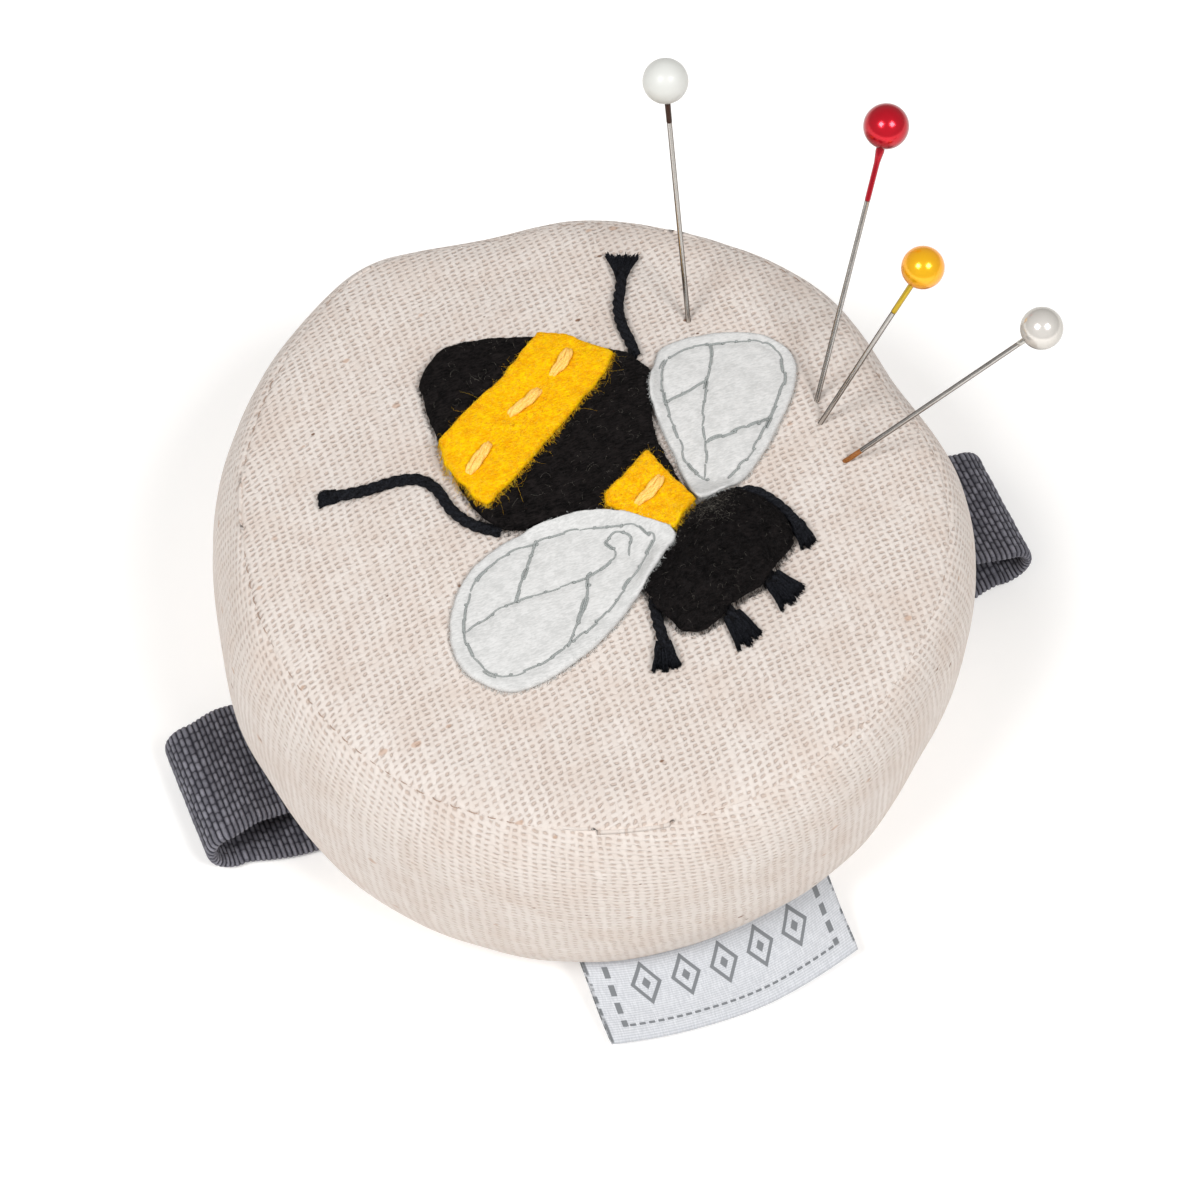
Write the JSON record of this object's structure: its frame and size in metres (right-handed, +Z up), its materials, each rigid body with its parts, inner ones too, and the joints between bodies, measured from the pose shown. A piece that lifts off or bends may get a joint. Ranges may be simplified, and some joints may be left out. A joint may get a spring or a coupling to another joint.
{
  "type": "wrist pin cushion",
  "caption": "Round stuffed linen pin cushion for the wrist, with an elastic strap, a woven tab in its base seam, a felt bee sewn on top and ball-headed pins pushed into it.",
  "frame": {"origin": "on the table under the middle of the drum, at the underside of the strap's bottom run", "axes": "+X along the strap, -Y towards the woven tab, +Z up out of the top panel"},
  "size_m": [0.0949, 0.0826, 0.0613],
  "materials": {
    "linen": "natural plain-weave linen, matte",
    "filling": "packed polyester fibre",
    "guard_plastic": "matte stiff sheet",
    "seam_thread": "spun sewing thread",
    "webbing": "ribbed woven elastic, matte",
    "label_tape": "fine satin-woven tape",
    "black_felt": "fuzzy felt",
    "yellow_felt": "felt",
    "wing_felt": "fine pale felt",
    "wing_thread": "machine thread",
    "yellow_yarn": "doubled soft yarn",
    "black_yarn": "twisted cord",
    "pin_steel": "polished steel wire",
    "white_glass": "opaque gloss bead",
    "red_pearl": "pearl lacquered bead",
    "yellow_pearl": "pearl lacquered bead",
    "white_pearl": "pearl bead"
  },
  "bodies": {
    "cushion": {"top_panel": "linen", "side_band": "linen", "base_panel": "linen", "filling": "filling", "guard_plate": "guard_plastic", "top_seam_thread": "seam_thread", "base_seam_thread": "seam_thread", "bee_abdomen": "black_felt", "bee_head": "black_felt", "abdomen_stripe": "yellow_felt", "collar_stripe": "yellow_felt", "wing_left": "wing_felt", "wing_right": "wing_felt", "wing_left_stitching": "wing_thread", "wing_right_stitching": "wing_thread", "stripe_stitch_1": "yellow_yarn", "stripe_stitch_2": "yellow_yarn", "stripe_stitch_3": "yellow_yarn", "collar_stitch": "yellow_yarn", "hind_leg_left": "black_yarn", "hind_leg_right": "black_yarn", "front_leg_1": "black_yarn", "front_leg_2": "black_yarn", "front_leg_3": "black_yarn", "front_leg_4": "black_yarn"},
    "strap": {"wrist_strap": "webbing"},
    "tab": {"label": "label_tape"},
    "pin_white": {"pin_white_shaft": "pin_steel", "pin_white_head": "white_glass"},
    "pin_red": {"pin_red_shaft": "pin_steel", "pin_red_head": "red_pearl"},
    "pin_yellow": {"pin_yellow_shaft": "pin_steel", "pin_yellow_head": "yellow_pearl"},
    "pin_pearl": {"pin_pearl_shaft": "pin_steel", "pin_pearl_head": "white_pearl"}
  },
  "joints": [
    {"name": "strap_stretch", "type": "slide", "parent": "cushion", "child": "strap", "axis": [0, 0, -1], "range_m": [0, 0.045], "stiffness_N_per_m": 120, "deforming": ["wrist_strap"]},
    {"name": "tab_flap", "type": "hinge", "parent": "cushion", "child": "tab", "pos_m": [0, -0.0368, 0.0046], "axis": [-1, 0, 0], "range_deg": [0, 60]},
    {"name": "pin_white_push", "type": "slide", "parent": "cushion", "child": "pin_white", "axis": [0.0711, 0.4246, 0.9026], "range_m": [-0.015, 0.014]},
    {"name": "pin_red_push", "type": "slide", "parent": "cushion", "child": "pin_red", "axis": [0.363, 0.3759, 0.8526], "range_m": [-0.02, 0.0115]},
    {"name": "pin_yellow_push", "type": "slide", "parent": "cushion", "child": "pin_yellow", "axis": [0.4924, 0.0868, 0.866], "range_m": [-0.011, 0.02]},
    {"name": "pin_pearl_push", "type": "slide", "parent": "cushion", "child": "pin_pearl", "axis": [0.6682, -0.1543, 0.7278], "range_m": [-0.016, 0.015]}
  ]
}
